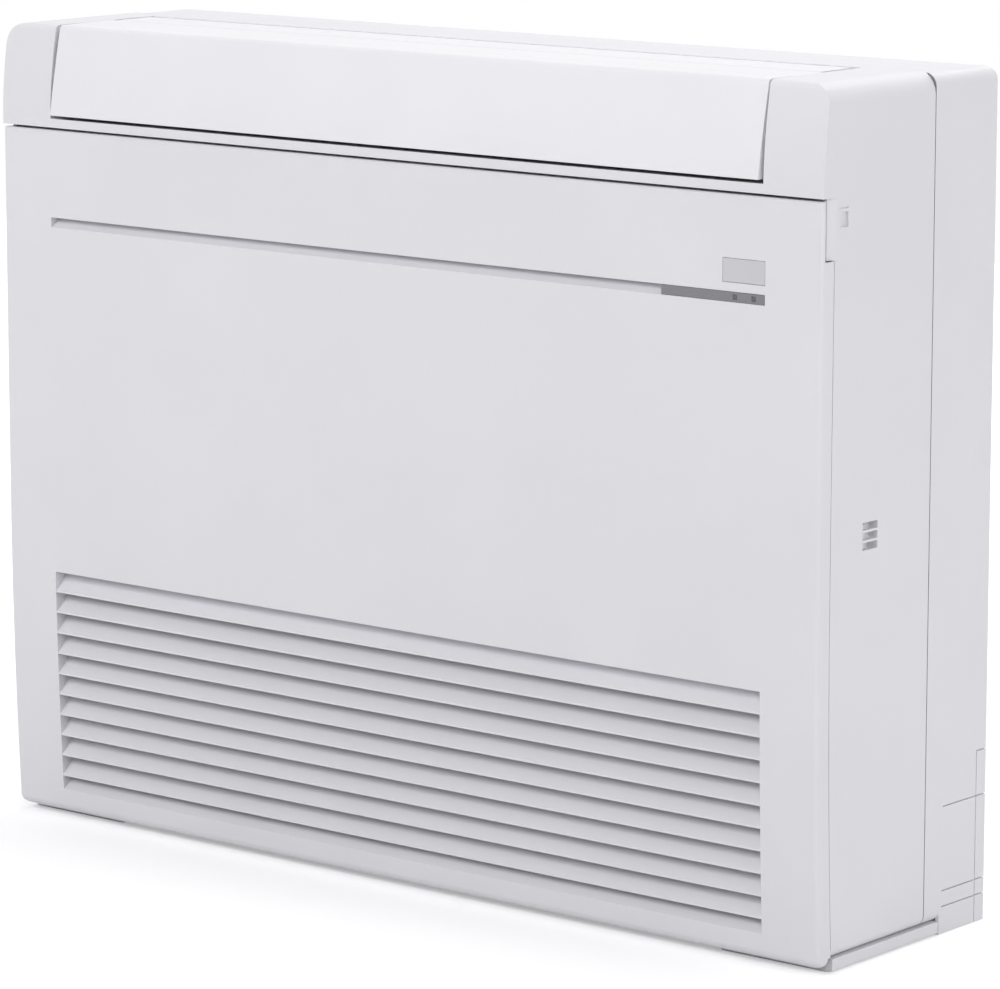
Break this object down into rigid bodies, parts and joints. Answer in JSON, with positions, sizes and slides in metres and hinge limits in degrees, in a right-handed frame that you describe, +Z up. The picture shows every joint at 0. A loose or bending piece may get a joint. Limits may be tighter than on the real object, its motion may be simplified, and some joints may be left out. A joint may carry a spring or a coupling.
{
  "type": "floor standing air conditioner",
  "caption": "Floor standing room air conditioner with a bowed front panel, lower louvre grille, groove with a display strip, front outlet flap and top vane.",
  "frame": {"origin": "middle of the bounding box's underside, on the floor", "axes": "+X along the width, to the right as seen from the front, +Y to the wall behind, +Z up"},
  "size_m": [0.75, 0.207, 0.6],
  "materials": {
    "shell_plastic": "white moulded plastic with a fine sheen",
    "flap_plastic": "white moulded plastic, a little smoother",
    "strip_plastic": "mid grey satin plastic",
    "window_plastic": "light grey glossy window",
    "lens_plastic": "dark glossy lamp lens",
    "galvanised_steel": "zinc coated sheet steel",
    "duct_plastic": "light grey moulded plastic",
    "dark_plastic": "dark grey moulded plastic",
    "fin_aluminium": "bare aluminium fins",
    "copper": "bare copper tube",
    "brass": "plain brass",
    "pan_foam": "grey moulded drain pan",
    "filter_plastic": "fine dark mesh in a frame",
    "motor_steel": "grey coated steel",
    "button_plastic": "grey plastic",
    "board": "green circuit board"
  },
  "bodies": {
    "cabinet": {"back_plate": "galvanised_steel", "back_screw_1": "galvanised_steel", "back_screw_2": "galvanised_steel", "back_screw_3": "galvanised_steel", "back_screw_4": "galvanised_steel", "back_screw_5": "galvanised_steel", "back_screw_6": "galvanised_steel", "base_plinth": "shell_plastic", "coil_end_plate_left": "galvanised_steel", "coil_end_plate_right": "galvanised_steel", "control_board": "board", "drain_pan": "pan_foam", "duct_front_wall": "duct_plastic", "duct_rear_wall": "duct_plastic", "electrical_box": "galvanised_steel", "electrical_cover": "galvanised_steel", "fan_bearing": "dark_plastic", "fan_motor": "motor_steel", "filter_left": "filter_plastic", "filter_right": "filter_plastic", "flap_motor": "motor_steel", "front_casing": "shell_plastic", "gas_pipe": "copper", "gas_pipe_nut": "brass", "heat_exchanger": "fin_aluminium", "indicator_unit": "duct_plastic", "liquid_pipe": "copper", "liquid_pipe_nut": "brass", "panel_hinge_left": "shell_plastic", "panel_hinge_right": "shell_plastic", "rear_casing": "shell_plastic", "return_bend_1": "copper", "return_bend_2": "copper", "return_bend_3": "copper", "return_bend_4": "copper", "return_bend_5": "copper", "room_sensor": "duct_plastic", "side_frame_left": "galvanised_steel", "side_frame_right": "galvanised_steel", "terminal_block": "dark_plastic", "top_vane_motor": "motor_steel"},
    "front_panel": {"front_panel": "shell_plastic", "display_strip": "strip_plastic", "indicator_lens_left": "lens_plastic", "indicator_lens_right": "lens_plastic", "receiver_window": "window_plastic"},
    "outlet_flap": {"outlet_flap": "flap_plastic"},
    "top_vane": {"top_vane": "flap_plastic"},
    "fan": {"fan": "dark_plastic"},
    "guide_vane_link": {"guide_vane_link": "dark_plastic"},
    "reset_button": {"reset_button": "button_plastic"},
    "guide_vane_1": {"guide_vane_1": "dark_plastic"},
    "guide_vane_2": {"guide_vane_2": "dark_plastic"},
    "guide_vane_3": {"guide_vane_3": "dark_plastic"},
    "guide_vane_4": {"guide_vane_4": "dark_plastic"},
    "guide_vane_5": {"guide_vane_5": "dark_plastic"},
    "guide_vane_6": {"guide_vane_6": "dark_plastic"},
    "guide_vane_7": {"guide_vane_7": "dark_plastic"},
    "guide_vane_8": {"guide_vane_8": "dark_plastic"}
  },
  "joints": [
    {"name": "front_panel_tilt", "type": "hinge", "parent": "cabinet", "child": "front_panel", "pos_m": [0, -0.08855, 0.0115], "axis": [1, 0, 0], "range_deg": [0, 50]},
    {"name": "outlet_flap_swing", "type": "hinge", "parent": "cabinet", "child": "outlet_flap", "pos_m": [0, -0.09405, 0.563], "axis": [1, 0, 0], "range_deg": [0, 50]},
    {"name": "top_vane_lift", "type": "hinge", "parent": "cabinet", "child": "top_vane", "pos_m": [0, 0.00345, 0.594], "axis": [-1, 0, 0], "range_deg": [0, 75]},
    {"name": "fan_spin", "type": "hinge", "parent": "cabinet", "child": "fan", "pos_m": [0, 0.03645, 0.418], "axis": [1, 0, 0], "continuous": true},
    {"name": "guide_vane_1_swing", "type": "hinge", "parent": "cabinet", "child": "guide_vane_1", "pos_m": [-0.259, -0.03618, 0.49253], "axis": [0, -0.7248, -0.689], "range_deg": [-30, 30]},
    {"name": "guide_vane_2_swing", "type": "hinge", "parent": "cabinet", "child": "guide_vane_2", "pos_m": [-0.185, -0.03618, 0.49253], "axis": [0, -0.7248, -0.689], "range_deg": [-30, 30]},
    {"name": "guide_vane_3_swing", "type": "hinge", "parent": "cabinet", "child": "guide_vane_3", "pos_m": [-0.111, -0.03618, 0.49253], "axis": [0, -0.7248, -0.689], "range_deg": [-30, 30]},
    {"name": "guide_vane_4_swing", "type": "hinge", "parent": "cabinet", "child": "guide_vane_4", "pos_m": [-0.037, -0.03618, 0.49253], "axis": [0, -0.7248, -0.689], "range_deg": [-30, 30]},
    {"name": "guide_vane_5_swing", "type": "hinge", "parent": "cabinet", "child": "guide_vane_5", "pos_m": [0.037, -0.03618, 0.49253], "axis": [0, -0.7248, -0.689], "range_deg": [-30, 30]},
    {"name": "guide_vane_6_swing", "type": "hinge", "parent": "cabinet", "child": "guide_vane_6", "pos_m": [0.111, -0.03618, 0.49253], "axis": [0, -0.7248, -0.689], "range_deg": [-30, 30]},
    {"name": "guide_vane_7_swing", "type": "hinge", "parent": "cabinet", "child": "guide_vane_7", "pos_m": [0.185, -0.03618, 0.49253], "axis": [0, -0.7248, -0.689], "range_deg": [-30, 30]},
    {"name": "guide_vane_8_swing", "type": "hinge", "parent": "cabinet", "child": "guide_vane_8", "pos_m": [0.259, -0.03618, 0.49253], "axis": [0, -0.7248, -0.689], "range_deg": [-30, 30]},
    {"name": "guide_vane_link_slide", "type": "slide", "parent": "cabinet", "child": "guide_vane_link", "axis": [1, 0, 0], "range_m": [-0.0081, 0.0081]},
    {"name": "reset_button_press", "type": "slide", "parent": "cabinet", "child": "reset_button", "axis": [0, 1, 0], "range_m": [0, 0.0015], "stiffness_N_per_m": 400, "springref_m": -0.0005}
  ],
  "couplings": [
    {"joint": "guide_vane_2_swing", "follows": "guide_vane_1_swing", "ratio": 1},
    {"joint": "guide_vane_3_swing", "follows": "guide_vane_1_swing", "ratio": 1},
    {"joint": "guide_vane_4_swing", "follows": "guide_vane_1_swing", "ratio": 1},
    {"joint": "guide_vane_5_swing", "follows": "guide_vane_1_swing", "ratio": 1},
    {"joint": "guide_vane_6_swing", "follows": "guide_vane_1_swing", "ratio": 1},
    {"joint": "guide_vane_7_swing", "follows": "guide_vane_1_swing", "ratio": 1},
    {"joint": "guide_vane_8_swing", "follows": "guide_vane_1_swing", "ratio": 1},
    {"joint": "guide_vane_link_slide", "follows": "guide_vane_1_swing", "m_per_rad": 0.0153}
  ]
}
